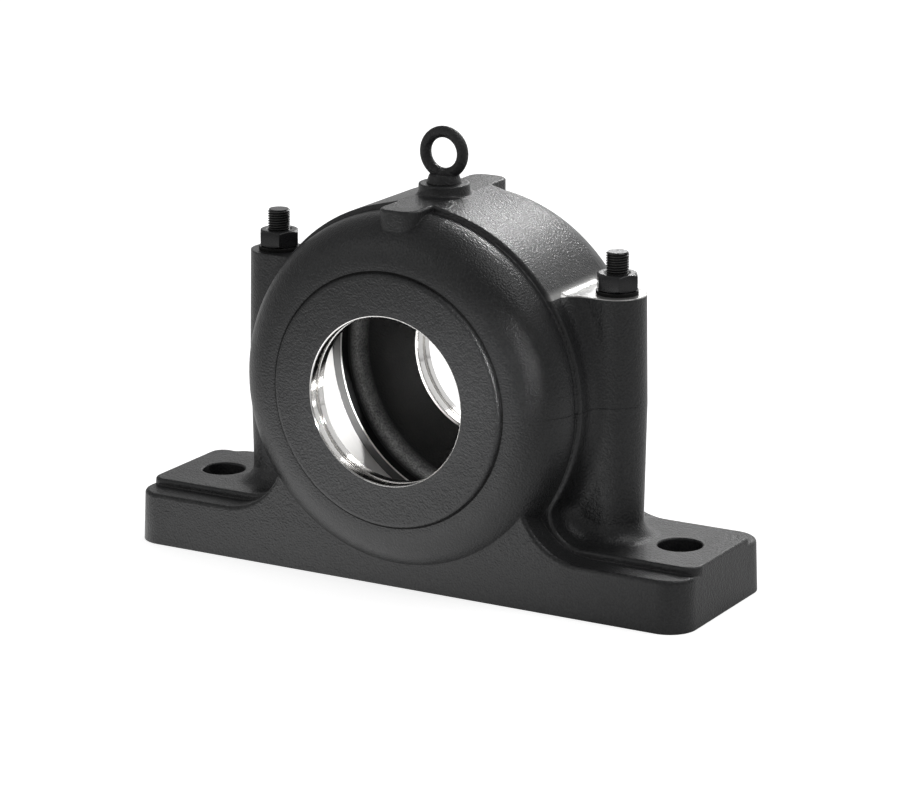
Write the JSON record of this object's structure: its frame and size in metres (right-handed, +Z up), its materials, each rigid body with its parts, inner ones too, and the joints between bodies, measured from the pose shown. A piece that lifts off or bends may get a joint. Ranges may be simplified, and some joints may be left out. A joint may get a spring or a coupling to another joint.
{
  "type": "split plummer block",
  "caption": "Two-bolt split plummer block housing: drafted cast foot, domed drum with a through shaft bore and a wide bearing seat, cap clamped by studs and lifted by an eye bolt.",
  "frame": {"origin": "centre of the underside of the foot", "axes": "+X along the foot, +Y along the shaft, +Z up through the cap"},
  "size_m": [0.5, 0.185, 0.3559],
  "materials": {
    "cast_housing": "satin black paint over sand casting, bores machined bright",
    "black_steel": "black oxide",
    "ground_steel": "ground",
    "painted_eye": "satin black"
  },
  "bodies": {
    "root": {"housing_base": "cast_housing", "housing_cap": "cast_housing", "cap_stud_right": "black_steel", "cap_stud_left": "black_steel", "cap_washer_right": "black_steel", "cap_washer_left": "black_steel", "cap_nut_right": "black_steel", "cap_nut_left": "black_steel", "dowel_pin_right": "ground_steel", "dowel_pin_left": "ground_steel", "eye_bolt": "painted_eye"}
  },
  "joints": []
}
